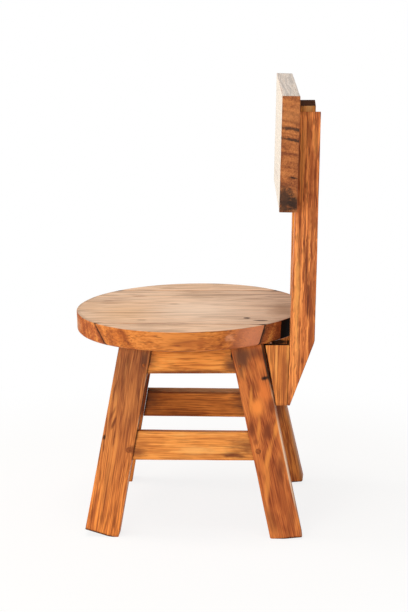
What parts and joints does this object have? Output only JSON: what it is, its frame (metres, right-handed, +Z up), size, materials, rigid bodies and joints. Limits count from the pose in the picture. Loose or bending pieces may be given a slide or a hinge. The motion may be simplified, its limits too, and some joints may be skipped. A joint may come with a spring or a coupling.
{
  "type": "child's chair",
  "caption": "Small wooden chair with a round plank seat, splayed legs joined by aprons and stretchers, and leaning posts that carry a plain rectangular back board.",
  "frame": {"origin": "on the floor, under the middle of the chair's bounding box", "axes": "+Z up, -Y the way the sitter faces, +X to the sitter's left"},
  "size_m": [0.2594, 0.277, 0.503],
  "materials": {
    "seat_wood": "oiled hardwood, long grain fore and aft",
    "leg_wood": "oiled hardwood, grain along the leg",
    "rail_wood": "oiled hardwood, grain along the rail",
    "post_wood": "oiled hardwood, grain along the post",
    "board_wood": "oiled hardwood, grain across the chair",
    "peg_wood": "end grain of darker pegs, cut flush",
    "screw_steel": "plain steel"
  },
  "bodies": {
    "root": {"seat_plank_middle": "seat_wood", "seat_plank_left": "seat_wood", "seat_plank_right": "seat_wood", "leg_front_left": "leg_wood", "leg_front_right": "leg_wood", "leg_rear_left": "leg_wood", "leg_rear_right": "leg_wood", "apron_side_left": "rail_wood", "apron_side_right": "rail_wood", "apron_front": "rail_wood", "apron_rear": "rail_wood", "stretcher_side_left": "rail_wood", "stretcher_side_right": "rail_wood", "stretcher_front": "rail_wood", "stretcher_rear": "rail_wood", "post_left": "post_wood", "post_right": "post_wood", "wedge_block_left": "post_wood", "wedge_block_right": "post_wood", "back_board": "board_wood", "peg_front_left": "peg_wood", "peg_front_right": "peg_wood", "peg_rear_left": "peg_wood", "peg_rear_right": "peg_wood", "pin_front_left": "peg_wood", "pin_front_right": "peg_wood", "pin_rear_left": "peg_wood", "pin_rear_right": "peg_wood", "seat_screw_front_left": "screw_steel", "seat_screw_front_right": "screw_steel", "seat_screw_rear_left": "screw_steel", "seat_screw_rear_right": "screw_steel", "post_screw_upper_left": "screw_steel", "post_screw_upper_right": "screw_steel", "post_screw_lower_left": "screw_steel", "post_screw_lower_right": "screw_steel", "board_screw_upper_left": "screw_steel", "board_screw_upper_right": "screw_steel", "board_screw_lower_left": "screw_steel", "board_screw_lower_right": "screw_steel"}
  },
  "joints": []
}
